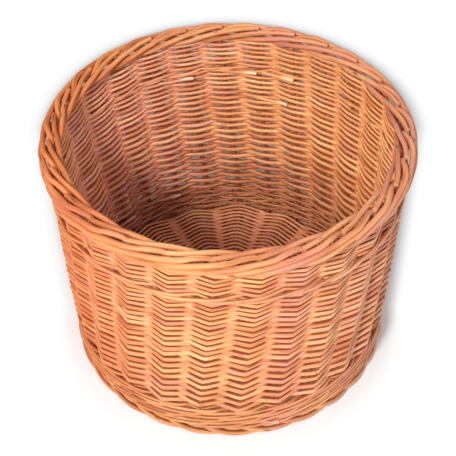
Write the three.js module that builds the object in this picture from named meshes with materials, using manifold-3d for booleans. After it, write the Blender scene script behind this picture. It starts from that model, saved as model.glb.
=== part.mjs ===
import * as THREE from 'three';
import { mergeVertices } from 'three/addons/utils/BufferGeometryUtils.js';
import Module from 'manifold-3d';

// Round willow basket in millimetres, +Z up, standing on its foot at the origin

// Whole basket
const basketHeight = 300;
const rimRadius = 189; // circle of the stakes where the border starts
const wallTaper = 7.5; // how much smaller the circle of the stakes is where they turn up
const midWaleHeight = 240; // middle of the thick band under the top weave
const upsettHeight = 48; // top of the first thick rows over the floor

// Stakes
const stakeCount = 27;
const stakeRod = 5.6;
const stakeTip = 4.4; // a rod thins towards the cut end of its border leg
const stakeLean = 8; // degrees that a stake drifts round the basket on its way up
const firstStake = 5; // degrees from +X at the floor
const turnUp = 8; // bend radius where a stake leaves the floor
const turnDown = 6; // bend radius of the knuckle on the border
const socketDepth = 20; // how far a stake reaches into the edge of the floor

// Weavers and thick rods
const weaverRod = 4;
const waleRod = 4.3;
const footRod = 5;
const rodGap = 0.3; // air between two rods that lie on each other
const buttGap = 1.5; // air between the two ends of one thick rod

// Floor
const floorLevel = 14; // middle of the floor
const armStick = 6.4;
const crossTurn = 6; // degrees that the cross of sticks is turned from +X
const crossCount = 4; // sticks each way in the cross
const edgeWidth = 22; // of the ring that holds the feet of the stakes
const edgeClear = 0.6; // air between that ring, which is made of flats, and the floor weave
const matStart = 40; // inner end of the floor weave
const floorWeaver = 3;
const bindRod = 3;
const bindRadius = 29.5; // first turn of the binding round the crossed sticks
const bindTurns = 2;
const bindCount = 3; // points of the binding over each side of the cross
const bindSpread = 36; // degrees from one of these points to the next
const splitWall = 3; // willow over and under the slot of a pierced stick
const neckShare = 0.3; // how soon a pierced stick is slim again on its way to the weave

// Rows of the weave as the solids draw them, taller and fewer than the real ones
const lowerRows = 6;
const upperRows = 1;
const behindShare = 0.45; // of a weaver's thickness, over a stick that its row passes behind

const rodSides = 5;
const channelSides = 4;
const stickSides = 6;
const pitch = 2 * Math.PI / stakeCount;
const armCount = 4 * crossCount;
const armPitch = 2 * Math.PI / armCount;
const radians = Math.PI / 180;
const zAxis = new THREE.Vector3(0, 0, 1);

// A border leg as [stakes passed, steps out, steps up] from the middle of the rim.
// It goes behind two stakes, out under the border, climbs in front of three and crosses
// the top, and its cut end lies behind the sixth.
const borderStep = stakeRod + rodGap;
const legRoute = [
  [0.4, -0.62, 1.36],
  [1, -1.58, 1.15],
  [1.5, -1.8, 0.5],
  [2, -1.45, -0.35],
  [2.5, -0.1, -1.1],
  [3, 1.3, -1.15],
  [3.5, 1.55, -0.55],
  [4.2, 1.54, 0.3],
  [5.1, 1.1, 1.08],
  [5.5, 0.42, 1.42],
  [5.8, -0.48, 0.88],
  [6.06, -1.03, 0.4],
];
const kneeTop = 1.31; // steps from the middle of the rim up to a knuckle
const legTop = 1.42;
const legBottom = -1.15;

// A rod of the foot as [stakes passed, steps out, steps up], level where it stands
const footPress = 0.6; // how deep two crossing rods of the foot are pressed together
const footStep = footRod - footPress;
const footRoute = [
  [0.28, 0.4, 1],
  [0.75, 1, 0.4],
  [1.2, 0.6, 0],
  [1.65, -0.5, 0],
  [2.15, -1, 0.6],
];
const footBeside = (stakeRod + footRod) / 2 + rodGap; // a foot rod stands beside its stake
const footLevel = footRod / 2 * Math.cos(Math.PI / rodSides);

// A thick rod over two stakes and behind one as [stakes passed, steps out, steps up]
const waleCount = 3;
const waleRoute = [[0, -1, 0], [0.5, 0, -1], [1, 1, -1], [2, 1, 1], [2.5, 0, 1]];
const waleOut = (stakeRod + waleRod) / 2 + rodGap * 2;
const waleUp = (waleRod + rodGap * 2) / 2;

// Circles of the floor and levels of the wall
const floorRadius = rimRadius - wallTaper;
const edgeEnd = floorRadius - turnUp - rodGap * 3;
const edgeStart = edgeEnd - edgeWidth;
const armReach = edgeStart - edgeClear;
const rimLevel = basketHeight - legTop * borderStep - stakeTip / 2 - rodGap;
const wallFoot = floorLevel + turnUp;
const wallTop = rimLevel + kneeTop * borderStep - turnDown;
const waleHalf = waleUp + waleRod / 2 + rodGap;
const upsettBottom = wallFoot + rodGap;
const borderBottom = rimLevel + legBottom * borderStep - stakeRod / 2 - rodGap;

// Sizes of the floor
const stickStep = armStick + rodGap * 2;
const crossHalf = crossCount / 2 * stickStep;
const slitHigh = armStick + rodGap * 2;
const swollen = slitHigh / 2 + splitWall;
const bindStep = bindRod + rodGap;
const bindHigh = armStick / 2 + bindRod / 2 + rodGap * 2;

const willow = {
  stake: [0xb9683a, 0.62],
  weave: [0xd98f5a, 0.58],
  wale: [0xdf9a62, 0.55],
  foot: [0xc87c48, 0.6],
  floor: [0xb0704a, 0.66],
};

const basket = new THREE.Group();
basket.name = 'basket_planter';

function addPiece(name, geometry, kind) {
  const [color, roughness] = willow[kind];
  const material = new THREE.MeshStandardMaterial({ color, roughness, metalness: 0 });
  const piece = new THREE.Mesh(geometry, material);
  piece.name = name;
  basket.add(piece);
}

function polar(radius, angle, z) {
  return new THREE.Vector3(radius * Math.cos(angle), radius * Math.sin(angle), z);
}

// Where the wall is at a height. A stake is straight and leans, so this follows its line
function wallPoint(turn, out, z) {
  const low = polar(floorRadius, firstStake * radians + turn * pitch, wallFoot);
  const high = polar(rimRadius, (firstStake + stakeLean) * radians + turn * pitch, wallTop);
  const point = low.lerp(high, (z - wallFoot) / (wallTop - wallFoot));
  const away = new THREE.Vector3(point.x, point.y, 0).normalize();
  return point.addScaledVector(away, out);
}

function rimPoint(turn, out, up) {
  return polar(rimRadius + out, (firstStake + stakeLean) * radians + turn * pitch, rimLevel + up);
}

function edgePoint(turn, up, radius) {
  return polar(radius, firstStake * radians + turn * pitch, floorLevel + up);
}

function matPoint(turn, up, radius) {
  return polar(radius, crossTurn * radians + (turn + 0.5) * armPitch, floorLevel + up);
}

function solid(points, faces) {
  const geometry = new THREE.BufferGeometry();
  const numbers = points.flatMap((point) => point.toArray());
  geometry.setAttribute('position', new THREE.Float32BufferAttribute(numbers, 3));
  geometry.setIndex(faces.flat());
  return geometry;
}

const wasm = await Module();
wasm.setup();

function toManifold(geometry) {
  const bare = geometry.toNonIndexed();
  bare.deleteAttribute('normal');
  bare.deleteAttribute('uv');
  const merged = mergeVertices(bare);
  const vertProperties = new Float32Array(merged.getAttribute('position').array);
  const triVerts = new Uint32Array(merged.getIndex().array);
  return new wasm.Manifold(new wasm.Mesh({ numProp: 3, vertProperties, triVerts }));
}

function fromManifold(body) {
  const mesh = body.getMesh();
  const geometry = new THREE.BufferGeometry();
  geometry.setAttribute('position', new THREE.BufferAttribute(mesh.vertProperties, 3));
  geometry.setIndex(new THREE.BufferAttribute(mesh.triVerts, 1));
  return geometry;
}

// A rod swept along its points, where sizes holds the half width and half height at each
function sweepRod(points, sizes, { sides = rodSides, level = false, start = zAxis } = {}) {
  const corners = [];
  const faces = [];
  let lift = start.clone();
  points.forEach((point, i) => {
    const before = points[Math.max(i - 1, 0)];
    const after = points[Math.min(i + 1, points.length - 1)];
    const ahead = after.clone().sub(before).normalize();
    if (level && Math.abs(ahead.z) < Math.SQRT1_2) lift = zAxis.clone();
    const side = ahead.clone().cross(lift).normalize();
    lift = side.clone().cross(ahead);
    const [wide, high] = sizes[i];
    for (let j = 0; j < sides; j += 1) {
      const angle = (j + 0.5) * 2 * Math.PI / sides - Math.PI / 2;
      const corner = point.clone().addScaledVector(side, wide * Math.cos(angle));
      corners.push(corner.addScaledVector(lift, high * Math.sin(angle)));
    }
  });
  for (let i = 0; i < points.length - 1; i += 1) {
    for (let j = 0; j < sides; j += 1) {
      const here = i * sides + j;
      const next = i * sides + (j + 1) % sides;
      faces.push([here, here + sides, next + sides], [here, next + sides, next]);
    }
  }
  const last = (points.length - 1) * sides;
  for (let j = 1; j < sides - 1; j += 1) {
    faces.push([0, j, j + 1], [last, last + j + 1, last + j]);
  }
  return solid(corners, faces);
}

// A stretch of weave as one shell, thin where the weavers cross between two sticks, with a
// channel for each stick. It swells over every stick, and each row swells it less on the side
// that it leaves free. place gives a point from the stick's number, the distance out of the
// weave and the level along the sticks.
function wovenShell(count, place, [bottom, top], stick, weaver, rows = 0) {
  const swell = stick / 2 + weaver;
  const free = stick / 2 + weaver * behindShare;
  const thin = weaver / 2;
  const channel = (stick / 2 + rodGap) / Math.cos(Math.PI / channelSides);
  const rowLevels = Array.from({ length: rows }, (_, i) => bottom + (top - bottom) * (i + 0.5) / rows);
  const levels = [bottom, ...rowLevels, top];
  const last = levels.length - 1;
  const ring = 4 * count;
  const corners = levels.flatMap((level, i) => Array.from({ length: count }, (_, k) => {
    const inRow = i > 0 && i < last;
    const outside = (k + i) % 2 === 0; // the row passes outside this stick
    return [
      place(k - 0.5, thin, level),
      place(k - 0.5, -thin, level),
      place(k, inRow && !outside ? free : swell, level),
      place(k, inRow && outside ? -free : -swell, level),
    ];
  }).flat());
  const holeStart = corners.length;
  const holeAngles = Array.from({ length: channelSides }, (_, j) => (j + 0.5) * 2 * Math.PI / channelSides);
  const holeSketch = holeAngles.map((angle) => (
    new THREE.Vector2(channel * Math.cos(angle), channel * Math.sin(angle))
  ));
  for (const level of [bottom, top]) {
    for (let k = 0; k < count; k += 1) {
      for (const { x: aside, y: out } of holeSketch) {
        const corner = place(k, out, level);
        const along = new THREE.Vector3(-corner.y, corner.x, 0).normalize();
        corners.push(corner.addScaledVector(along, aside));
      }
    }
  }
  const half = rimRadius * Math.PI / count; // half the way to the next stick, for the flat sketch
  const rimSketch = [
    [-half, -thin], [0, -swell], [half, -thin], [half, thin], [0, swell], [-half, thin],
  ].map(([aside, out]) => new THREE.Vector2(aside, out));
  const sketch = [...rimSketch, ...holeSketch];
  const flats = THREE.ShapeUtils.triangulateShape(rimSketch, [holeSketch]);
  for (const flat of flats) {
    if (THREE.ShapeUtils.isClockWise(flat.map((spot) => sketch[spot]))) flat.reverse();
  }
  const faces = [];
  for (let k = 0; k < count; k += 1) {
    const here = k * 4;
    const after = (k + 1) % count * 4;
    const rim = [here + 1, here + 3, after + 1, after, here + 2, here];
    const hole = holeAngles.map((_, j) => holeStart + k * channelSides + j);
    const toTop = count * channelSides;
    const low = [...rim, ...hole];
    const high = [...rim.map((spot) => spot + last * ring), ...hole.map((spot) => spot + toTop)];
    for (const [p, q, r] of flats) {
      faces.push([low[p], low[q], low[r]], [high[p], high[r], high[q]]);
    }
    hole.forEach((p, j) => {
      const q = hole[(j + 1) % channelSides];
      faces.push([p, q, q + toTop], [p, q + toTop, p + toTop]);
    });
    const sides = [[here, here + 2], [here + 2, after], [here + 3, here + 1], [after + 1, here + 3]];
    for (const [first, second] of sides) {
      for (let i = 0; i < last; i += 1) {
        const p = first + i * ring;
        const q = second + i * ring;
        faces.push([p, q, q + ring], [p, q + ring, p + ring]);
      }
    }
  }
  const shell = solid(corners, faces);
  if (volumeOf(corners, faces) < 0) shell.setIndex(faces.flatMap(([p, q, r]) => [p, r, q]));
  return shell;
}

function volumeOf(corners, faces) {
  return faces.reduce((sum, [p, q, r]) => (
    sum + corners[p].dot(corners[q].clone().cross(corners[r])) / 6
  ), 0);
}

function even(points, rod) {
  return points.map(() => [rod / 2, rod / 2]);
}

// Stakes, each one rod from its socket in the floor to the cut end of its border leg
function stakeShape(k) {
  const points = [
    edgePoint(k, 0, floorRadius - turnUp - socketDepth),
    edgePoint(k, 0, floorRadius - turnUp),
    wallPoint(k, 0, wallFoot),
    wallPoint(k, 0, wallTop),
  ];
  for (const bend of [Math.PI / 4, Math.PI / 2]) {
    const passed = turnDown * (1 - Math.cos(bend)) / (rimRadius * pitch);
    const up = kneeTop * borderStep - turnDown * (1 - Math.sin(bend));
    points.push(rimPoint(k + passed, 0, up));
  }
  const sizes = even(points, stakeRod);
  const legEnd = legRoute[legRoute.length - 1][0];
  for (const [passed, out, up] of legRoute) {
    points.push(rimPoint(k + passed, out * borderStep, up * borderStep));
    const rod = THREE.MathUtils.lerp(stakeRod, stakeTip, passed / legEnd);
    sizes.push([rod / 2, rod / 2]);
  }
  return sweepRod(points, sizes);
}

for (let k = 0; k < stakeCount; k += 1) {
  addPiece(`stake_${String(k + 1).padStart(2, '0')}`, stakeShape(k), 'stake');
}

// Woven stretches of the wall
function wallShell(levels, weaver, rows) {
  return wovenShell(stakeCount, wallPoint, levels, stakeRod, weaver, rows);
}
const randLow = [upsettHeight + rodGap, midWaleHeight - waleHalf];
const randHigh = [midWaleHeight + waleHalf, borderBottom];
addPiece('upsett_wale', wallShell([upsettBottom, upsettHeight], waleRod), 'wale');
addPiece('lower_randing', wallShell(randLow, weaverRod, lowerRows), 'weave');
addPiece('upper_randing', wallShell(randHigh, weaverRod, upperRows), 'weave');

// Three rods of the middle wale, each over two stakes and behind one
for (let k = 0; k < waleCount; k += 1) {
  const points = [];
  const addPoint = (turn, out, up) => {
    points.push(wallPoint(k + turn, out * waleOut, midWaleHeight + up * waleUp));
  };
  for (let passed = 0; passed < stakeCount; passed += waleCount) {
    for (const [turn, out, up] of waleRoute) addPoint(passed + turn, out, up);
  }
  addPoint(stakeCount - buttGap / (rimRadius * pitch), -1, 0);
  addPiece(`mid_wale_rod_${k + 1}`, sweepRod(points, even(points, waleRod), { level: true }), 'wale');
}

// Foot border, one rod for each stake, pressed into the next where they cross
let foot = null;
for (let k = 0; k < stakeCount; k += 1) {
  const points = footRoute.map(([passed, out, up]) => {
    const point = edgePoint(k + passed, 0, floorRadius + out * footStep);
    return point.setZ(footLevel + up * footStep);
  });
  const beside = k + footBeside / (floorRadius * pitch);
  points.unshift(
    wallPoint(beside, 0, upsettBottom - rodGap),
    wallPoint(beside, rodGap, floorLevel),
  );
  const start = zAxis.clone().cross(points[0]).normalize();
  const rod = toManifold(sweepRod(points, even(points, footRod), { level: true, start }));
  foot = foot ? foot.add(rod) : rod;
}
addPiece('foot_border', fromManifold(foot), 'foot');

// Crossed sticks of the floor. Half of them are slit in the middle and the others pass through
function stickShape(k, slit) {
  const fromMiddle = k - (crossCount - 1) / 2;
  const row = fromMiddle * stickStep;
  const fan = fromMiddle * armPitch + crossTurn * radians;
  const half = (end) => {
    const turned = end > 0 ? fan : Math.PI + 2 * crossTurn * radians - fan;
    const across = new THREE.Vector3(end * (crossHalf + rodGap * 4), row, floorLevel);
    across.applyAxisAngle(zAxis, crossTurn * radians);
    const fanned = polar(matStart - rodGap, turned, floorLevel);
    const neck = across.clone().lerp(fanned, neckShare);
    return [across, neck, fanned, polar(armReach, turned, floorLevel)];
  };
  const middle = slit ? swollen : armStick / 2;
  const ends = [middle, armStick / 2, armStick / 2, armStick / 2];
  const points = [...half(-1).reverse(), ...half(1)];
  const sizes = [...ends.toReversed(), ...ends].map((high) => [armStick / 2, high]);
  return sweepRod(points, sizes, { sides: stickSides, level: true });
}

function turnedQuarter(geometry) {
  return geometry.rotateZ(Math.PI / 2);
}

const slot = new THREE.BoxGeometry(crossHalf * 2, crossHalf * 2, slitHigh);
slot.translate(0, 0, floorLevel).rotateZ(crossTurn * radians);
for (let k = 0; k < crossCount; k += 1) {
  const slit = toManifold(stickShape(k, true)).subtract(toManifold(slot));
  addPiece(`slit_stick_${k + 1}`, fromManifold(slit), 'floor');
  addPiece(`through_stick_${k + 1}`, turnedQuarter(stickShape(k, false)), 'floor');
}

// Binding over one cross of sticks and under the other
const bindPoints = [];
const turnSteps = 4 * bindCount;
for (let i = 0; i <= bindTurns * turnSteps; i += 1) {
  const side = Math.floor(i / bindCount);
  const spread = (i % bindCount - (bindCount - 1) / 2) * bindSpread;
  const angle = side * Math.PI / 2 + (spread + crossTurn) * radians;
  const up = side % 2 === 0 ? bindHigh : -bindHigh;
  bindPoints.push(polar(bindRadius + bindStep * i / turnSteps, angle, floorLevel + up));
}
addPiece('binding', sweepRod(bindPoints, even(bindPoints, bindRod), { level: true }), 'floor');

// Woven floor round the arms, then its edge, which holds the feet of the stakes
addPiece('floor_weave', wovenShell(
  armCount, matPoint, [matStart, armReach], armStick, floorWeaver,
), 'floor');
addPiece('floor_edge', wovenShell(
  stakeCount, edgePoint, [edgeStart, edgeEnd], stakeRod, floorWeaver,
), 'floor');

export default basket;
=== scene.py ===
import bpy
import math
from mathutils import Euler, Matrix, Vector


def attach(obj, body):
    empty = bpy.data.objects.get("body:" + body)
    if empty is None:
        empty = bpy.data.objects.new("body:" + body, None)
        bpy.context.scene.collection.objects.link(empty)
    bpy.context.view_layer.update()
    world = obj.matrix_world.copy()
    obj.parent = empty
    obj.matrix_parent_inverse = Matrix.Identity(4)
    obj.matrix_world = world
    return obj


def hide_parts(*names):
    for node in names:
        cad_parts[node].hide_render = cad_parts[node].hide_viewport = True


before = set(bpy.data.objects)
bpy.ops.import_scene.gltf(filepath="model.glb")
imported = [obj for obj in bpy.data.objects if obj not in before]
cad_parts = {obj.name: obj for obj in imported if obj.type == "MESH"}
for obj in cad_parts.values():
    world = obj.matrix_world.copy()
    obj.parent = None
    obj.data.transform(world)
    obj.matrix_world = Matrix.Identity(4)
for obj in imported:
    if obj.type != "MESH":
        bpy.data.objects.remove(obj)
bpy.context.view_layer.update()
scene = bpy.context.scene

# Whole basket, in metres, as the frame has it
basket = {
    "stakes": 27,
    "firstStake": math.radians(5),  # from +X at the floor
    "lean": math.radians(8),  # drift of a stake on its way up
    "rimRadius": 0.189,
    "floorRadius": 0.1815,
    "wallFoot": 0.022,
    "wallTop": 0.29085,
    "rimLevel": 0.28912,
    "floorLevel": 0.014,
    "stakeRod": 0.0056,
    "gap": 0.0003,  # air between two rods that lie on each other
}
pitch = 2 * math.pi / basket["stakes"]
wallRise = basket["wallTop"] - basket["wallFoot"]
print("frame loaded,", len(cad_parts), "nodes")

# Camera, set to the photographed view
view = {
    "lookAt": Vector((-0.0011, 0, 0.147)),
    "distance": 1.1708,
    "elevation": math.radians(45.34),
    "roll": math.radians(-0.64),
    "lens": 79.07,
    "sensor": 36,
    "nearest": 0.01,
}
cameraData = bpy.data.cameras.new("camera")
cameraData.lens = view["lens"]
cameraData.sensor_width = view["sensor"]
cameraData.clip_start = view["nearest"]
camera = bpy.data.objects.new("camera", cameraData)
scene.collection.objects.link(camera)
outward = Vector((0, -math.cos(view["elevation"]), math.sin(view["elevation"])))
camera.location = view["lookAt"] + outward * view["distance"]
camera.rotation_euler = outward.to_track_quat("Z", "Y").to_euler()
camera.rotation_euler.rotate_axis("Z", view["roll"])
scene.camera = camera


# A wire carries a number, a point or a colour between nodes. Numbers take ordinary arithmetic
class Wire:
    def __init__(self, sheet, socket):
        self.sheet = sheet
        self.socket = socket

    def __add__(self, other):
        return self.sheet.maths("ADD", self, other)

    def __radd__(self, other):
        return self.sheet.maths("ADD", other, self)

    def __sub__(self, other):
        return self.sheet.maths("SUBTRACT", self, other)

    def __rsub__(self, other):
        return self.sheet.maths("SUBTRACT", other, self)

    def __mul__(self, other):
        return self.sheet.maths("MULTIPLY", self, other)

    def __rmul__(self, other):
        return self.sheet.maths("MULTIPLY", other, self)

    def __truediv__(self, other):
        return self.sheet.maths("DIVIDE", self, other)

    def __rtruediv__(self, other):
        return self.sheet.maths("DIVIDE", other, self)


# A sheet is a node tree being drawn: of a shape, a bark, the paper or the studio's walls
class NodeSheet:
    def __init__(self, tree):
        self.tree = tree
        self.inputs = {}
        self.start = None

    def take(self, name, start):
        # start is the number that an input has until it is set, or else what it carries
        kind = {int: "Int", float: "Float"}.get(type(start)) or start.capitalize()
        socket = self.tree.interface.new_socket(
            name=name, in_out="INPUT", socket_type=f"NodeSocket{kind}")
        if kind in ("Int", "Float"):
            socket.default_value = start
        self.inputs[name] = socket.identifier
        if self.start is None:
            self.start = self.tree.nodes.new("NodeGroupInput")
        return Wire(self, self.start.outputs[name])

    def give(self, geometry):
        self.tree.interface.new_socket(
            name="Geometry", in_out="OUTPUT", socket_type="NodeSocketGeometry")
        end = self.tree.nodes.new("NodeGroupOutput")
        self.feed(end.inputs[0], geometry)

    def node(self, kind, inputs=None, **settings):
        made = self.tree.nodes.new(kind)
        for name, value in settings.items():
            setattr(made, name, value)
        for name, value in (inputs or {}).items():
            self.feed(made.inputs[name], value)
        return made

    def feed(self, socket, value):
        if isinstance(value, Wire):
            self.tree.links.new(value.socket, socket)
        else:
            socket.default_value = value

    def out(self, made, name=0):
        return Wire(self, made.outputs[name])

    def wire(self, kind, inputs=None, **settings):
        return self.out(self.node(kind, inputs, **settings))

    def maths(self, operation, *values):
        return self.wire("ShaderNodeMath", dict(enumerate(values)), operation=operation)

    def point(self, x, y, z):
        return self.wire("ShaderNodeCombineXYZ", {"X": x, "Y": y, "Z": z})

    def split(self, point):
        made = self.node("ShaderNodeSeparateXYZ", {0: point})
        return [self.out(made, axis) for axis in "XYZ"]

    def length(self, x, y):
        return self.maths("SQRT", x * x + y * y)

    def ease(self, value, low, high, top=1.0, bottom=0.0, curve="SMOOTHSTEP"):
        # goes from bottom to top while the value goes from low to high
        return self.wire("ShaderNodeMapRange", {
            "Value": value, "From Min": low, "From Max": high, "To Min": bottom, "To Max": top,
        }, interpolation_type=curve)

    def blend(self, share, first, second, way="MIX"):
        first, second = (c if isinstance(c, Wire) else (*c, 1) for c in (first, second))
        made = self.node("ShaderNodeMix", {0: share, 6: first, 7: second},
                         data_type="RGBA", blend_type=way)
        return self.out(made, 2)

    def noise(self, where, scale=1.0):
        # smooth value from -1 to 1 along one number
        made = self.wire("ShaderNodeTexNoise", {"W": where, "Scale": scale, "Detail": 0.0},
                         noise_dimensions="1D")
        return (made - 0.5) * 2.6

    def keep(self, geometry, name, value, domain="POINT", kind="FLOAT"):
        made = self.node("GeometryNodeStoreNamedAttribute", {"Geometry": geometry, "Name": name},
                         data_type=kind, domain=domain)
        self.feed(made.inputs["Value"], value)
        return self.out(made)

    def recall(self, name):
        return self.wire("GeometryNodeInputNamedAttribute", {"Name": name}, data_type="FLOAT")


# How a rod strays from its line and from its thickness, and where in the noise each is read
rodNoise = {
    "perRod": 3.17,
    "waverScale": 42,
    "waverShifts": (11.3, 37.1, 71.9),
    "swellScale": 30,
    "swellShift": 5.7,
}


# Turns a curve into a rod of willow: its unevenness, its round section and what the bark needs
def sweep(s, curve, seed, sides, uneven, waver):
    sides, uneven = s.take("Sides", sides), s.take("Unevenness", uneven)
    waver, material = s.take("Waver", waver), s.take("Willow", "material")
    along = s.out(s.node("GeometryNodeSplineParameter"), "Length")
    curve = s.keep(curve, "rodAlong", along)
    curve = s.wire("GeometryNodeSetCurveNormal", {"Curve": curve}, mode="Z_UP")
    where = along + s.recall("rodNumber") * rodNoise["perRod"] + seed
    shift = s.point(*[s.noise(where + place, rodNoise["waverScale"])
                      for place in rodNoise["waverShifts"]])
    shift = s.wire("ShaderNodeVectorMath", {0: shift, "Scale": waver}, operation="SCALE")
    curve = s.wire("GeometryNodeSetPosition", {"Geometry": curve, "Offset": shift})
    swelling = 1 + uneven * s.noise(where + rodNoise["swellShift"], rodNoise["swellScale"])
    ring = s.wire("GeometryNodeCurvePrimitiveCircle", {"Resolution": sides, "Radius": 1.0},
                  mode="RADIUS")
    ring = s.keep(ring, "rodSide", s.wire("GeometryNodeInputPosition"), kind="FLOAT_VECTOR")
    mesh = s.wire("GeometryNodeCurveToMesh", {
        "Curve": curve, "Profile Curve": ring, "Scale": s.recall("rodThick") * 0.5 * swelling,
        "Fill Caps": True,
    })
    # only the faces at the cut ends have more than four corners
    corners = s.wire("GeometryNodeInputMeshFaceNeighbors")
    isEnd = s.wire("FunctionNodeCompare", {0: corners, 1: 4.5}, operation="GREATER_THAN")
    mesh = s.keep(mesh, "cutEnd", isEnd, domain="FACE")
    smooth = s.wire("FunctionNodeBooleanMath", {0: isEnd}, operation="NOT")
    mesh = s.wire("GeometryNodeSetShadeSmooth", {"Geometry": mesh, "Shade Smooth": smooth})
    mesh = s.wire("GeometryNodeRealizeInstances", {"Geometry": mesh})
    s.give(s.wire("GeometryNodeSetMaterial", {"Geometry": mesh, "Material": material}))


def newSheet(name):
    return NodeSheet(bpy.data.node_groups.new(name, "GeometryNodeTree"))


# Bent rods: smooths the drawn points, then sweeps them
def bentRodSheet():
    s = newSheet("bent rods")
    drawn = s.take("Drawn", "geometry")
    spacing = s.take("Spacing", 0.003)
    dark = s.take("Painted shade in the joints", 0.0)
    seed = s.take("Seed", 0.0)
    curve = s.wire("GeometryNodeMeshToCurve", {"Mesh": drawn})
    curve = s.wire("GeometryNodeCurveSplineType", {"Curve": curve}, spline_type="CATMULL_ROM")
    curve = s.wire("GeometryNodeResampleCurve", {"Curve": curve, "Length": spacing}, mode="LENGTH")
    # how much painted shade the rod gets in its joints
    curve = s.keep(curve, "jointShadeWeight", dark)
    sweep(s, curve, seed, 10, 0.05, 0.0002)
    return s


# How unevenly a weaver is laid: how fast it strays, and where in the noise each way is read
hand = {"pace": 0.9, "levelShift": 3.1, "outShift": 57.7,
        "thick": 0.07, "thickPace": 0.37, "thickShift": 91.3}


# Swings from 1 at a crossing to 0 halfway to the next, rounded by kink at the crossing
def swing(s, aside, kink):
    reach = s.maths("SQRT", 0.25 + kink * kink)
    return (reach - s.length(aside, kink)) / (reach - kink)


# Notes on each point of a weaver: how near a crossing it is, which sets its painted shade in the
# joints, how thick, and which rod it belongs to
def markWeaver(s, line, bend, thick, wild, number):
    line = s.keep(line, "jointShadeWeight", bend)
    uneven = hand["thick"] * s.noise(wild * hand["thickPace"] + hand["thickShift"])
    line = s.keep(line, "rodThick", thick * (1 + uneven))
    return s.keep(line, "rodNumber", number)


# A point of the leaning wall from stakes passed, the distance out of the weave and the level
def wallWire(s, turn, out, level):
    share = (level - basket["wallFoot"]) / wallRise
    low = turn * pitch + basket["firstStake"]
    high = low + basket["lean"]
    x, y = [
        s.maths(way, low) * basket["floorRadius"] * (1 - share)
        + s.maths(way, high) * basket["rimRadius"] * share for way in ("COSINE", "SINE")]
    far = s.length(x, y)
    grow = (far + out) / far
    return s.point(x * grow, y * grow, level)


# Randing: one weaver goes round and round, outside one stake and inside the next
randingHand = {"level": 0.19, "out": 0.07, "stakesPerRod": 46.0}


def randingSheet():
    s = newSheet("randing")
    stakes = s.take("Stakes", basket["stakes"])
    rows = s.take("Rows", 10)
    steps = s.take("Points per stake", 8)
    low = s.take("Lowest level", 0.05)
    lowRow = s.take("Bottom row height", 0.006)
    highRow = s.take("Top row height", 0.0035)
    fill = s.take("Thickness in a row", 0.88)
    thickest = s.take("Thickest weaver", 0.0060)
    stake = s.take("Stake thickness", basket["stakeRod"])
    kink = s.take("Roundness of a bend", 0.1)
    straighten = s.take("Pull between stakes", 0.0013)
    stepOver = s.take("Stakes of the step up", 2.5)
    seed = s.take("Seed", 0.0)
    line = s.wire("GeometryNodeMeshLine", {"Count": stakes * rows * steps + 1}, mode="OFFSET")
    turn = s.wire("GeometryNodeInputIndex") / steps
    nearest = s.maths("ROUND", turn)
    aside = turn - nearest
    side = 1 - 2 * s.maths("FLOORED_MODULO", nearest, 2.0)
    bend = swing(s, aside, kink)
    # a lap stays level and steps up over its last stakes
    lap = s.maths("FLOOR", turn / stakes)
    late = s.maths("MAXIMUM", (turn - lap * stakes - stakes + stepOver) / stepOver, 0.0)
    row = lap + late * late * (3 - 2 * late)
    rise = lowRow * row + (highRow - lowRow) * row * row / (2 * rows)
    height = lowRow + (highRow - lowRow) * row / rows
    thick = s.maths("MINIMUM", height * fill, thickest)
    wild = turn * hand["pace"] + seed
    level = low + height * 0.5 + rise
    level = level + height * randingHand["level"] * s.noise(wild + hand["levelShift"])
    stray = randingHand["out"] * s.noise(wild + hand["outShift"])
    out = side * bend * (stake + thick) * 0.5 * (1 + stray)
    off = s.maths("ABSOLUTE", aside)
    out = out - 4 * straighten * off * (1 - off)
    number = s.maths("FLOOR", turn / randingHand["stakesPerRod"])
    line = markWeaver(s, line, bend, thick, wild, number)
    place = wallWire(s, turn, out, level)
    line = s.wire("GeometryNodeSetPosition", {"Geometry": line, "Position": place})
    sweep(s, s.wire("GeometryNodeMeshToCurve", {"Mesh": line}), seed, 8, 0.08, 0.0002)
    return s


# Floor weave: two weavers chase each other round the arms, each over the arms that the other
# goes under
floorHand = {"row": 0.1, "up": 0.08, "armsPerRod": 31.0, "otherWeaver": 50.0, "otherRods": 40.0}


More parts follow.
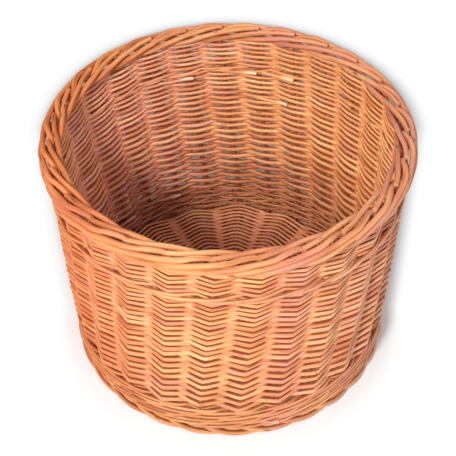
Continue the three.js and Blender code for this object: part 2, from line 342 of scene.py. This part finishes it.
def floorSheet():
    s = newSheet("floor weave")
    arms = s.take("Arms", 16)
    laps = s.take("Laps of a weaver", 18)
    steps = s.take("Points per arm", 8)
    start = s.take("Inner radius", 0.04)
    row = s.take("Row height", 0.0033)
    first = s.take("Angle of the first arm", 0.3)
    level = s.take("Level", 0.014)
    arm = s.take("Arm thickness", 0.0064)
    thick = s.take("Weaver thickness", 0.0031)
    kink = s.take("Roundness of a bend", 0.08)
    seed = s.take("Seed", 0.0)
    both = s.node("GeometryNodeJoinGeometry")
    turn = s.wire("GeometryNodeInputIndex") / steps
    nearest = s.maths("ROUND", turn)
    aside = turn - nearest
    bend = swing(s, aside, kink)
    # rows run straight from arm to arm
    half = math.pi / arms
    straight = half - s.length(aside, kink) * half * 2
    polygon = s.maths("COSINE", half) / s.maths("COSINE", straight)
    angle = first + turn * half * 2
    for weaver in (0, 1):
        line = s.wire("GeometryNodeMeshLine", {"Count": arms * laps * steps + 1}, mode="OFFSET")
        side = 1 - 2 * s.maths("FLOORED_MODULO", nearest + weaver, 2.0)
        wild = turn * hand["pace"] + seed + weaver * floorHand["otherWeaver"]
        far = (start + row * (turn * 2 / arms + weaver + 0.5)) * polygon
        far = far + row * floorHand["row"] * s.noise(wild + hand["levelShift"])
        stray = floorHand["up"] * s.noise(wild + hand["outShift"])
        up = side * bend * (arm + thick) * 0.5 * (1 + stray)
        number = s.maths("FLOOR", turn / floorHand["armsPerRod"]) + weaver * floorHand["otherRods"]
        line = markWeaver(s, line, bend, thick, wild, number)
        place = s.point(far * s.maths("COSINE", angle), far * s.maths("SINE", angle), level + up)
        line = s.wire("GeometryNodeSetPosition", {"Geometry": line, "Position": place})
        s.feed(both.inputs[0], line)
    sweep(s, s.wire("GeometryNodeMeshToCurve", {"Mesh": s.out(both)}), seed, 8, 0.08, 0.00015)
    return s


bentRods = bentRodSheet()
randing = randingSheet()
floorWeaving = floorSheet()
print("node trees made")

# Pattern of the bark: noise as round the rod, along it, detail and shift, and what it brings out
# as low, high and the most of it
bark = {
    "perRod": 7.31,
    "noiseRoughness": 0.6,
    "grain": (2.6, 45.0, 4.0, 1.7),
    "patches": (0.5, 11.0, 2.0, 31.9),
    "hue": (0.2, 7.0, 1.0, 77.3),
    "buds": (0.9, 60.0, 0.0, 5.5),
    "fine": (5.0, 90.0, 3.0, 12.0),
    "grainShare": 0.45,
    "tones": (0.39, 0.5, 0.62),
    "blotched": (0.5, 0.72, 0.75),
    "golden": (0.46, 0.3, 0.7),
    "budded": (0.735, 0.79, 0.8),
    "budTone": (0.55, 0.5, 0.5),
    # painted shade in the joints: nearness to a stake, the edge of the rod's section where it
    # shows, and the dark tone
    "jointShadeNear": (0.05, 0.4),
    "jointShadeSide": (0.75, 1.0, 0.9),
    "jointShadeTone": (0.55, 0.32, 0.18),
    # painted shade on the stakes below the top of the weave: its soft edge, strength and tone
    "weaveShadeEdge": 0.004,
    "weaveShadeMost": 0.7,
    "weaveShadeTone": (0.45, 0.35, 0.3),
    "peelLength": 0.012,
    "peel": (1.2, 0.2),
    "peeled": (0.93, 0.68, 0.38),
    "shine": (-0.04, 0.18),
    "specular": 0.32,
    "bumpStrength": 0.5,
    "bumpDistance": 0.0004,
    "bumpFine": 0.6,
    "bumpBuds": 0.8,
}

# Painted light and shade, multiplied into the bark by side and place: the outside dimmed, its left
# a deeper orange as in direct light, its right cooler as in shade; the inside left cool and mauve
# as in shade, paler at the far left, the inside right lighter and the inside darker low down. The
# last row is a cooler mauve band on the outside front, a little right of the middle. Columns:
# outside or inside, where it sets in, colour
sideLightTints = [
    ("outside", [], (0.905, 0.88, 0.92)),
    ("outside", [("x", -0.05, -0.17)], (0.88, 0.65, 0.53)),
    ("inside", [("x", 0.07, -0.12)], (1.0, 1.0, 1.42)),
    ("outside", [("x", 0.05, 0.16)], (0.97, 0.95, 1.18)),
    ("inside", [("x", -0.13, -0.17)], (1.13, 1.16, 1.22)),
    ("inside", [("x", -0.06, 0.02)], (1.07, 1.1, 1.1)),
    ("inside", [("z", 0.15, 0.045)], (0.68, 0.6, 0.64)),
    ("outside", [("x", 0.02, 0.055), ("x", 0.10, 0.065)], (0.98, 0.93, 1.22)),
]
wallHalf = 0.002  # either side of the stakes, where outside turns into inside
rimTop = (0.281, 0.285)  # the border counts as outside all over


def toned(colour, by):
    return [part * share for part, share in zip(colour, by)]


# Willow, with streaks of bark along the rod, blotches, buds and a paler cut end, and with painted
# shade in the joints and on the stakes below the weave, and painted light and shade by side
def willowFinish(name, pale, mid, dark, blotch, gold, rough, jointShadeAxis="y", shadedBelow=None,
                 peeled=None, sided=True, face=(0.68, 0.34, 0.17)):
    material = bpy.data.materials.new(name)
    material.use_nodes = True
    s = NodeSheet(material.node_tree)
    shader = s.tree.nodes["Principled BSDF"]

    def attribute(title, kind="Fac"):
        return s.out(s.node("ShaderNodeAttribute", attribute_name=title), kind)

    sideX, sideY, _ = s.split(attribute("rodSide", "Vector"))
    along = attribute("rodAlong")
    rod = attribute("rodNumber")

    def streaks(title):
        # noise that is drawn out along the rod
        round_, length, detail, shift = bark[title]
        return s.wire("ShaderNodeTexNoise", {
            "Vector": s.point(sideX * round_, sideY * round_, along * length),
            "W": rod * bark["perRod"] + shift, "Scale": 1.0, "Detail": detail,
            "Roughness": bark["noiseRoughness"],
        }, noise_dimensions="4D")

    grain, hue = streaks("grain"), streaks("hue")
    share = bark["grainShare"]
    ramp = s.node("ShaderNodeValToRGB", {0: grain * share + streaks("patches") * (1 - share)})
    low, middle, high = bark["tones"]
    tones = ramp.color_ramp.elements
    tones[0].position, tones[0].color = low, (*dark, 1)
    tones[1].position, tones[1].color = high, (*pale, 1)
    tones.new(middle).color = (*mid, 1)
    isBud = s.ease(streaks("buds"), *bark["budded"], curve="LINEAR")
    colour = s.blend(s.ease(hue, *bark["blotched"], curve="LINEAR"), s.out(ramp), blotch)
    colour = s.blend(s.ease(hue, *bark["golden"], curve="LINEAR"), colour, gold)
    colour = s.blend(isBud, colour, toned(dark, bark["budTone"]))
    # painted shade: deeper brown where rods of the weave lie on each other beside a stake, standing
    # in for the shade in the slits between them
    near = s.ease(attribute("jointShadeWeight"), *bark["jointShadeNear"])
    edge = s.maths("ABSOLUTE", {"x": sideX, "y": sideY}[jointShadeAxis])
    jointShade = near * s.ease(edge, *bark["jointShadeSide"])
    colour = s.blend(jointShade, colour, toned(dark, bark["jointShadeTone"]))
    x, y, z = s.split(s.out(s.node("ShaderNodeTexCoord"), "Object"))
    if shadedBelow:
        # painted shade: below the top of the weave the stakes' bark is darkened to deep brown,
        # standing in for the shade of the weave around them
        soft = bark["weaveShadeEdge"]
        weaveShaded = s.ease(z, shadedBelow + soft, shadedBelow - soft, bark["weaveShadeMost"])
        colour = s.blend(weaveShaded, colour, toned(dark, bark["weaveShadeTone"]))
    if peeled:
        # bark rubbed off towards the cut end
        most, least = bark["peel"]
        bare = s.ease(along, peeled, peeled + bark["peelLength"]) * (grain * most + least)
        colour = s.blend(bare, colour, bark["peeled"])
    # painted light and shade by side and place, from sideLightTints
    if sided:
        grow = (basket["rimRadius"] - basket["floorRadius"]) / wallRise
        wall = z * grow + (basket["floorRadius"] - grow * basket["wallFoot"])
        outside = s.maths("MAXIMUM", s.ease(s.length(x, y) - wall, -wallHalf, wallHalf),
                          s.ease(z, *rimTop))
        where = {"outside": outside, "inside": 1 - outside}
        for side, spans, tint in sideLightTints:
            share = where[side]
            for axis, begin, full in spans:
                share = s.ease({"x": x, "z": z}[axis], begin, full) * share
            colour = s.blend(share, colour, tint, "MULTIPLY")
    colour = s.blend(attribute("cutEnd"), colour, face)
    s.feed(shader.inputs["Base Color"], colour)
    low, high = (rough + more for more in bark["shine"])
    s.feed(shader.inputs["Roughness"], s.ease(grain, 0.0, 1.0, high, low, "LINEAR"))
    shader.inputs["Specular IOR Level"].default_value = bark["specular"]
    height = streaks("fine") * bark["bumpFine"] + isBud * bark["bumpBuds"]
    bump = s.wire("ShaderNodeBump", {
        "Strength": bark["bumpStrength"], "Distance": bark["bumpDistance"], "Height": height,
    })
    s.feed(shader.inputs["Normal"], bump)
    return material


# Colours of each finish as pale, middle, dark, blotches and gold
waleColours = ((0.92, 0.52, 0.25), (0.83, 0.38, 0.145), (0.56, 0.21, 0.07),
               (0.76, 0.33, 0.19), (0.92, 0.53, 0.22))
finishes = {
    # the stakes get painted shade below the top of the weave
    "stake": willowFinish(
        "buff willow stakes", (0.92, 0.48, 0.21), (0.80, 0.33, 0.118), (0.50, 0.155, 0.05),
        (0.66, 0.26, 0.15), (0.86, 0.44, 0.16), rough=0.38, shadedBelow=0.2775),
    "weave": willowFinish(
        "buff willow weavers", (0.97, 0.56, 0.26), (0.84, 0.345, 0.12), (0.54, 0.165, 0.05),
        (0.72, 0.29, 0.175), (0.90, 0.48, 0.19), rough=0.37),
    "wale": willowFinish("buff willow wale", *waleColours, rough=0.4),
    "foot": willowFinish(
        "buff willow foot", (0.86, 0.43, 0.18), (0.74, 0.30, 0.10), (0.46, 0.15, 0.046),
        (0.68, 0.27, 0.16), (0.86, 0.44, 0.17), rough=0.42),
    # the floor weave's painted joint shade lies on the sides of its rods
    "floor": willowFinish(
        "buff willow floor", (0.88, 0.42, 0.22), (0.72, 0.28, 0.13), (0.45, 0.145, 0.058),
        (0.64, 0.27, 0.20), (0.82, 0.40, 0.17), rough=0.46, jointShadeAxis="x", sided=False),
    # painted shade: the sticks are much darker than the other willow, so the floor's gaps where
    # they show read as shaded
    "arms": willowFinish(
        "willow sticks darkened as shade", (0.50, 0.21, 0.11), (0.39, 0.14, 0.065), (0.25, 0.075, 0.03),
        (0.36, 0.14, 0.10), (0.44, 0.20, 0.09), rough=0.5, sided=False),
    "ends": willowFinish(
        "willow cut ends", *waleColours, rough=0.45, peeled=0.024, face=(0.82, 0.62, 0.42)),
}
print("willow finishes made")


# The same places as in the solids
def polar(radius, angle, z):
    return Vector((radius * math.cos(angle), radius * math.sin(angle), z))


def wallPoint(turn, out, z):
    angle = basket["firstStake"] + turn * pitch
    low = polar(basket["floorRadius"], angle, basket["wallFoot"])
    high = polar(basket["rimRadius"], angle + basket["lean"], basket["wallTop"])
    point = low.lerp(high, (z - basket["wallFoot"]) / wallRise)
    return point + Vector((point.x, point.y, 0)).normalized() * out


def rimPoint(turn, out, up):
    angle = basket["firstStake"] + basket["lean"] + turn * pitch
    return polar(basket["rimRadius"] + out, angle, basket["rimLevel"] + up)


def edgePoint(turn, up, radius):
    return polar(radius, basket["firstStake"] + turn * pitch, basket["floorLevel"] + up)


def drawPaths(name, paths):
    # a path is its points, the thickness at each and the number of the rod
    places, edges, thick, number = [], [], [], []
    for points, sizes, rod in paths:
        first = len(places)
        places += [tuple(p) for p in points]
        thick += list(sizes)
        number += [float(rod)] * len(points)
        edges += [(first + i, first + i + 1) for i in range(len(points) - 1)]
    mesh = bpy.data.meshes.new(name)
    mesh.from_pydata(places, edges, [])
    mesh.attributes.new("rodThick", "FLOAT", "POINT").data.foreach_set("value", thick)
    mesh.attributes.new("rodNumber", "FLOAT", "POINT").data.foreach_set("value", number)
    drawn = bpy.data.objects.new(name, mesh)
    scene.collection.objects.link(drawn)
    return drawn


def growPiece(name, sheet, values, paths=()):
    # runs a node tree on drawn paths and keeps the result as a plain mesh
    drawn = drawPaths("drawn " + name, paths)
    modifier = drawn.modifiers.new("grow", "NODES")
    modifier.node_group = sheet.tree
    for title, value in values.items():
        modifier[sheet.inputs[title]] = value
    bpy.context.view_layer.update()
    depsgraph = bpy.context.evaluated_depsgraph_get()
    shape = bpy.data.meshes.new_from_object(drawn.evaluated_get(depsgraph))
    bpy.data.objects.remove(drawn)
    piece = bpy.data.objects.new(name, shape)
    shape.name = name
    scene.collection.objects.link(piece)
    return piece


def settle(piece, slotName, *replaced):
    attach(piece, "root")
    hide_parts(*replaced)


# Stakes and the border that their turned-down ends make
stakeShape = {
    "turnUp": 0.008,
    "socketDepth": 0.020,
    "fullRod": 0.0060,
    "tip": 0.0053,
    "footTip": 0.0018,  # the foot is cut to a long point where it goes into the floor
    "footShare": 0.72,  # of the full rod, where the point begins
    "clear": 0.002,  # of the bend, where the straight ends of it start
    "bendShare": 0.3,
    "levels": (0, 0.25, 0.5, 0.75, 1),
    "wallTop": 0.2835,
    # from the cut end on top: stakes passed, out of the rim and up from it, in steps of one rod
    "route": [
        (-0.1, 0.16, 1.34), (0.1, -0.14, 1.36), (0.4, -0.62, 1.36), (1, -1.58, 1.15),
        (1.5, -1.8, 0.5), (2, -1.45, -0.35), (2.5, -0.1, -1.1), (3, 1.3, -1.15),
        (3.5, 1.55, -0.55), (4.2, 1.54, 0.3), (5.1, 1.1, 1.08), (5.5, 0.42, 1.42),
        (5.78, -0.3, 0.98), (5.92, -0.36, 0.45),
    ],
    "tipLength": 2,  # stakes passed until the leg has its full thickness
    "bentInto": 6,  # the leg is the top of the stake that lies this many stakes on
    "bendLevels": (0.2868, 0.2802),
    "firstLeg": 40,  # legs are numbered from here, so that their bark differs from the stakes'
}


def stakeRods(k):
    turnUp, rod, tip = stakeShape["turnUp"], stakeShape["fullRod"], stakeShape["tip"]
    step = basket["stakeRod"] + basket["gap"]
    feet = basket["floorRadius"] - turnUp
    corner = turnUp * stakeShape["bendShare"]
    points = [
        edgePoint(k, 0, feet - stakeShape["socketDepth"]),
        edgePoint(k, 0, feet - stakeShape["clear"]),
        edgePoint(k, corner, basket["floorRadius"] - corner),
    ]
    bottom = basket["wallFoot"] + stakeShape["clear"]
    for share in stakeShape["levels"]:
        points.append(wallPoint(k, 0, bottom + share * (stakeShape["wallTop"] - bottom)))
    sizes = [stakeShape["footTip"], rod * stakeShape["footShare"]] + [rod] * (len(points) - 2)
    leg, legSizes = [], []
    for passed, out, up in stakeShape["route"]:
        leg.append(rimPoint(k + passed, out * step, up * step))
        legSizes.append(min(rod, tip + (rod - tip) * max(passed, 0) / stakeShape["tipLength"]))
    for z in stakeShape["bendLevels"]:
        leg.append(wallPoint(k + stakeShape["bentInto"], 0, z))
        legSizes.append(rod)
    return [(points, sizes, k), (leg, legSizes, k + stakeShape["firstLeg"])]


for k in range(basket["stakes"]):
    name = f"stake_{k + 1:02d}"
    rod = growPiece(name + "_rod", bentRods, {
        "Sides": 12, "Spacing": 0.003, "Unevenness": 0.05, "Waver": 0.00025, "Seed": 3.0 + k,
        "Willow": finishes["stake"],
    }, stakeRods(k))
    settle(rod, "stake_willow", name)
print("stakes and border made")

# Woven wall
randed = {
    "lower": {"Rows": 40, "Lowest level": 0.0483, "Bottom row height": 0.0062,
              "Top row height": 0.00314, "Seed": 10.0},
    "upper": {"Rows": 11, "Lowest level": 0.2449, "Bottom row height": 0.0034,
              "Top row height": 0.0032, "Seed": 250.0},
}
for where, sizes in randed.items():
    weave = growPiece(f"{where}_randing_rods", randing, {
        **sizes, "Points per stake": 11, "Thickness in a row": 1.24, "Roundness of a bend": 0.035,
        "Willow": finishes["weave"],
    })
    settle(weave, "weave_willow", f"{where}_randing")
print("randing made")

# Three rods of the middle wale, and the rows of the upsett, made the same way
waleShape = {
    "rods": 3,
    "rod": 0.0043,
    "buttGap": 0.0015,
    "level": 0.24,
    # stakes passed, out of the circle of the stakes and up, in steps of one rod
    "route": [(0, -1, 0), (0.5, 0, -1), (1, 1, -1), (2, 1, 1), (2.5, 0, 1)],
}
waleOut = (basket["stakeRod"] + waleShape["rod"]) / 2 + basket["gap"] * 2
waleUp = (waleShape["rod"] + basket["gap"] * 2) / 2


def walePath(k, level, rod):
    points = []
    for passed in range(0, basket["stakes"], waleShape["rods"]):
        for turn, out, up in waleShape["route"]:
            points.append(wallPoint(k + passed + turn, out * waleOut, level + up * waleUp))
    ending = basket["stakes"] - waleShape["buttGap"] / (basket["rimRadius"] * pitch)
    points.append(wallPoint(k + ending, -waleOut, level))
    return points, [waleShape["rod"]] * len(points), rod


# the wales and the cut ends get painted shade in their joints
waleLook = {"Sides": 10, "Spacing": 0.004, "Unevenness": 0.06, "Waver": 0.0002,
            "Painted shade in the joints": 0.3, "Willow": finishes["wale"]}
for k in range(waleShape["rods"]):
    rod = growPiece(f"mid_wale_rod_{k + 1}_willow", bentRods, {**waleLook, "Seed": 40.0 + k},
                    [walePath(k, waleShape["level"], k)])
    settle(rod, "wale_willow", f"mid_wale_rod_{k + 1}")

upsett = {
    "rows": 4,
    "low": 0.0117,
    "high": 0.0485,
    "onward": 1.4,  # stakes from where a row starts to where the next does
}
rowStep = (upsett["high"] - upsett["low"]) / upsett["rows"]
paths = []
for row in range(upsett["rows"]):
    for k in range(waleShape["rods"]):
        paths.append(walePath(k + row * upsett["onward"], upsett["low"] + rowStep * (row + 0.5),
                              row * waleShape["rods"] + k))
wale = growPiece("upsett_wale_rods", bentRods,
                 {**waleLook, "Seed": 90.0, "Willow": finishes["foot"]}, paths)
settle(wale, "wale_willow", "upsett_wale")

# Thin weavers that lie between the rods of the wales and close them
packed = {
    "upsett": {"Rows": 8, "Lowest level": 0.0125, "Seed": 410.0, "Willow": finishes["foot"]},
    "mid_wale": {"Rows": 2, "Lowest level": 0.2355, "Seed": 470.0, "Willow": finishes["weave"]},
}
for where, values in packed.items():
    packing = growPiece(f"{where}_packing_rods", randing, {
        **values, "Bottom row height": 0.0045, "Top row height": 0.0045, "Points per stake": 9,
        "Thickness in a row": 0.84, "Roundness of a bend": 0.05, "Pull between stakes": 0.003,
    })
    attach(packing, "root")
print("wales made")

# Cut ends of rods left standing out of the weave, each at its stake passed and level: it runs
# this many stakes, goes out from and to, and starts this much lower
cutEnds = {
    "inside": {
        "rod": 0.0042, "run": 1.05, "out": (-0.0042, -0.0098), "curve": 0.7, "lower": 0.0012,
        "shares": (0, 0.35, 0.7, 1), "firstRod": 0,
        "places": [(6.92, 0.235), (5.01, 0.2393), (3.87, 0.2398), (4.1, 0.2016), (9.76, 0.0495),
                   (7.97, 0.0502)],
    },
    "outside": {
        "rod": 0.0034, "run": -0.75, "out": (0.002, 0.0082), "curve": 1, "lower": -0.004,
        "shares": (0, 0.5, 1), "firstRod": 10,
        "places": [(21.12, 0.0175), (16.4, 0.0225)],
    },
}
paths = []
for ends in cutEnds.values():
    tucked, standing = ends["out"]
    for i, (turn, z) in enumerate(ends["places"]):
        points = [wallPoint(turn + ends["run"] * (1 - share),
                            tucked + (standing - tucked) * share ** ends["curve"],
                            z - ends["lower"] * (1 - share)) for share in ends["shares"]]
        paths.append((points, [ends["rod"]] * len(points), ends["firstRod"] + i))
ends = growPiece("cut_weaver_ends", bentRods,
                 {**waleLook, "Seed": 170.0, "Willow": finishes["ends"]}, paths)
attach(ends, "root")
print("cut ends made")

# Foot border, one rod for each stake
footShape = {
    "rod": 0.0054,
    "press": 0.0006,  # how deep two crossing rods are pressed together
    "lift": 0.0005,
    # stakes passed, out of the circle of the stakes and up, in steps of one rod
    "route": [
        (0.25, 0.85, 1.7), (0.6, 1.3, 1.05), (0.95, 1.3, 0.4), (1.3, 0.95, 0.05),
        (1.65, 0.4, 0), (2.1, -0.3, 0.1), (2.6, -0.95, 0.4),
    ],
}
footStep = footShape["rod"] - footShape["press"]
footBeside = (basket["stakeRod"] + footShape["rod"]) / 2 + basket["gap"]
paths = []
for k in range(basket["stakes"]):
    beside = k + footBeside / (basket["floorRadius"] * pitch)
    points = [wallPoint(beside, 0, basket["wallFoot"]),
              wallPoint(beside, basket["gap"], basket["floorLevel"])]
    for passed, out, up in footShape["route"]:
        point = edgePoint(k + passed, 0, basket["floorRadius"] + out * footStep)
        point.z = footShape["rod"] / 2 + footShape["lift"] + up * footStep
        points.append(point)
    paths.append((points, [footShape["rod"]] * len(points), k))
# the foot rods get painted shade in their joints
foot = growPiece("foot_border_rods", bentRods, {
    "Sides": 12, "Spacing": 0.003, "Unevenness": 0.05, "Waver": 0.0002, "Seed": 130.0,
    "Painted shade in the joints": 0.25, "Willow": finishes["foot"],
}, paths)
settle(foot, "foot_willow", "foot_border")
print("foot made")

# Floor: crossed sticks, binding and the weave round their sixteen arms
floorShape = {
    "arms": 16,
    "sticks": 4,  # each way in the cross
    "crossTurn": math.radians(6),
    "crossHalf": 0.0152,
    "weaveStart": 0.0268,
    "row": 0.0033,
    "weaver": 0.0037,
}
armPitch = 2 * math.pi / floorShape["arms"]
stickShape = {
    "rod": 0.0064,
    "half": 0.0048,  # thickness of a half of a slit stick
    "endShare": 0.85,
    "step": 0.007,
    "splitGap": 0.005,  # from the middle of the floor to the middle of a half
    # how far apart the halves are, as shares of that, from the cross out to the end
    "splits": (1, 0.62, 0.2, 0.16, 0.16),
    "bend": 0.3,
    "fanStart": 0.028,
    "fanMiddle": 0.1,
    "reach": 0.168,
    "numbers": (30, 4, 20),  # the first number, and how much a quarter and a half add
}


def stickPath(k, quarter, split, thick):
    # split is the way that a half of a slit stick bulges: up, down or not at all
    fromMiddle = k - (floorShape["sticks"] - 1) / 2
    turn = floorShape["crossTurn"] + quarter * math.pi / 2
    fan = fromMiddle * armPitch
    points = []
    for end in (-1, 1):
        turned = fan + turn if end > 0 else math.pi + turn - fan
        across = Vector((end * floorShape["crossHalf"], fromMiddle * stickShape["step"], 0))
        across.rotate(Euler((0, 0, turn)))
        fanned = polar(stickShape["fanStart"], turned, 0)
        run = [across, across.lerp(fanned, stickShape["bend"]), fanned,
               polar(stickShape["fanMiddle"], turned, 0), polar(stickShape["reach"], turned, 0)]
        for point, share in zip(run, stickShape["splits"]):
            point.z = basket["floorLevel"] + split * share * stickShape["splitGap"]
        points = points + run if end > 0 else run[::-1]
    ending = thick * stickShape["endShare"]
    sizes = [ending] + [thick] * (len(points) - 2) + [ending]
    first, perQuarter, perHalf = stickShape["numbers"]
    return points, sizes, k + quarter * perQuarter + split * perHalf + first


stickLook = {"Sides": 10, "Spacing": 0.005, "Unevenness": 0.04, "Waver": 0.0002,
             "Willow": finishes["arms"]}
for k in range(floorShape["sticks"]):
    halves = [stickPath(k, 0, way, stickShape["half"]) for way in (-1, 1)]
    stick = growPiece(f"slit_stick_{k + 1}_willow", bentRods, {**stickLook, "Seed": 200.0 + k},
                      halves)
    settle(stick, "floor_willow", f"slit_stick_{k + 1}")
    stick = growPiece(f"through_stick_{k + 1}_willow", bentRods, {**stickLook, "Seed": 210.0 + k},
                      [stickPath(k, 1, 0, stickShape["rod"])])
    settle(stick, "floor_willow", f"through_stick_{k + 1}")

bindShape = {
    "rod": 0.003,
    "points": 25,  # three for each side of the cross, twice round, and one to end on
    "perSide": 3,
    "spread": math.radians(36),
    "up": 0.0053,  # over one side of the cross and under the next
    "radius": 0.0185,
    "growth": 0.003,  # of the radius in one turn
    "number": 60,
}
points = []
for i in range(bindShape["points"]):
    side, place = divmod(i, bindShape["perSide"])
    angle = side * math.pi / 2 + (place - 1) * bindShape["spread"] + floorShape["crossTurn"]
    up = bindShape["up"] if side % 2 == 0 else -bindShape["up"]
    radius = bindShape["radius"] + bindShape["growth"] * i / (4 * bindShape["perSide"])
    points.append(polar(radius, angle, basket["floorLevel"] + up))
binding = growPiece("binding_willow", bentRods, {**stickLook, "Spacing": 0.003, "Seed": 220.0},
                    [(points, [bindShape["rod"]] * len(points), bindShape["number"])])
settle(binding, "floor_willow", "binding")

matLaps, edgeLaps = 18, 4
floorLook = {
    "Arms": floorShape["arms"], "Row height": floorShape["row"], "Level": basket["floorLevel"],
    "Angle of the first arm": floorShape["crossTurn"] + armPitch / 2,
    "Arm thickness": stickShape["rod"], "Weaver thickness": floorShape["weaver"],
    "Willow": finishes["floor"],
}
mat = growPiece("floor_weave_rods", floorWeaving, {
    **floorLook, "Inner radius": floorShape["weaveStart"], "Laps of a weaver": matLaps,
    "Seed": 300.0,
})
settle(mat, "floor_willow", "floor_weave")
matEnd = floorShape["weaveStart"] + 2 * matLaps * floorShape["row"]
edge = growPiece("floor_edge_rods", floorWeaving, {
    **floorLook, "Inner radius": matEnd, "Laps of a weaver": edgeLaps, "Seed": 340.0,
})
settle(edge, "floor_willow", "floor_edge")
print("floor made")

# Studio: walls that the camera sees as white, lighter in front of the basket than behind it
room = {
    "front": 0.92,
    "frontColour": (0.95, 0.97, 1.0),
    "behind": 0.4,
    "behindColour": (1.0, 0.95, 0.88),
    "change": (-0.5, 0.6),
}
world = bpy.data.worlds.new("studio")
scene.world = world
world.use_nodes = True
s = NodeSheet(world.node_tree)
_, facing, _ = s.split(s.out(s.node("ShaderNodeTexCoord"), "Generated"))
walls = s.blend(s.ease(facing, *room["change"]), [c * room["front"] for c in room["frontColour"]],
                [c * room["behind"] for c in room["behindColour"]])
lit = s.tree.nodes["Background"]
s.feed(lit.inputs["Color"], walls)
s.feed(lit.inputs["Strength"], 1)
seen = s.wire("ShaderNodeBackground", {"Color": (1, 1, 1, 1), "Strength": 1})
isSeen = s.out(s.node("ShaderNodeLightPath"), "Is Camera Ray")
pick = s.wire("ShaderNodeMixShader", {0: isSeen, 1: s.out(lit), 2: seen})
s.feed(s.tree.nodes["World Output"].inputs["Surface"], pick)

lamp = {
    "place": Vector((-0.6312, -1.487, 1.677)),
    "toward": Vector((0, 0, 0.17)),
    "size": 0.32,
    "watts": 37.5,
    "colour": (1.0, 0.975, 0.945),
}
lampData = bpy.data.lights.new("key", "AREA")
lampData.shape = "DISK"
lampData.size = lamp["size"]
lampData.energy = lamp["watts"]
lampData.color = lamp["colour"]
light = bpy.data.objects.new("key", lampData)
light.location = lamp["place"]
light.rotation_euler = (lamp["place"] - lamp["toward"]).to_track_quat("Z", "Y").to_euler()
scene.collection.objects.link(light)

# Paper that keeps its shading round the basket and behind it, and fades to plain white further off.
# Behind the basket the paper is painted a dark brown-grey and under the floor a near-black brown:
# painted shade that shows through the gaps of the weave
backdrop = {
    "reach": 6.0,
    "level": -0.0002,
    "colour": (0.85, 0.88, 0.90),
    # painted shade: the dark brown-grey of the paper behind the basket, where it shows through the
    # gaps
    "behindColour": (0.48, 0.42, 0.33),
    "behind": (0.02, 0.2),
    # painted shade: near-black brown paper under the floor, showing through its gaps
    "underShadeColour": (0.16, 0.09, 0.06),
    "under": (0.183, 0.165),
    "roughness": 0.95,
    "specular": 0.1,
}
# a pool that widens from the basket to its far end, how its edge fades to white and where its
# painted shade ends, in shares of its width
pool = {"length": 0.36, "near": 0.2, "far": 0.285, "fade": (0.975, 1.09), "dark": (1.035, 0.955)}
floorMesh = bpy.data.meshes.new("studio_floor")
corners = [(x * backdrop["reach"], y * backdrop["reach"], backdrop["level"])
           for x, y in ((-1, -1), (1, -1), (1, 1), (-1, 1))]
floorMesh.from_pydata(corners, [], [range(4)])
studioFloor = bpy.data.objects.new("studio_floor", floorMesh)
scene.collection.objects.link(studioFloor)
paper = bpy.data.materials.new("white paper")
paper.use_nodes = True
s = NodeSheet(paper.node_tree)
shader = s.tree.nodes["Principled BSDF"]
shader.inputs["Roughness"].default_value = backdrop["roughness"]
shader.inputs["Specular IOR Level"].default_value = backdrop["specular"]
x, y, _ = s.split(s.out(s.node("ShaderNodeTexCoord"), "Object"))
along = s.maths("MINIMUM", s.maths("MAXIMUM", y / pool["length"], 0.0), 1.0)
away = s.length(y - along * pool["length"], x)
ratio = away / (along * (pool["far"] - pool["near"]) + pool["near"])
# painted shade: the paper turns dark behind and under the basket
shaded = s.blend(s.ease(y, *backdrop["behind"]) * s.ease(ratio, *pool["dark"]),
                 backdrop["colour"], backdrop["behindColour"])
shaded = s.blend(s.ease(s.length(x, y), *backdrop["under"]), shaded, backdrop["underShadeColour"])
s.feed(shader.inputs["Base Color"], shaded)
plain = s.wire("ShaderNodeEmission", {"Color": (1, 1, 1, 1), "Strength": 1})
isSeen = s.out(s.node("ShaderNodeLightPath"), "Is Camera Ray")
blend = s.wire("ShaderNodeMixShader", {
    0: s.ease(ratio, *pool["fade"]) * isSeen, 1: s.out(shader), 2: plain,
})
s.feed(s.tree.nodes["Material Output"].inputs["Surface"], blend)
floorMesh.materials.append(paper)

scene.view_settings.view_transform = "Standard"
print("studio made")
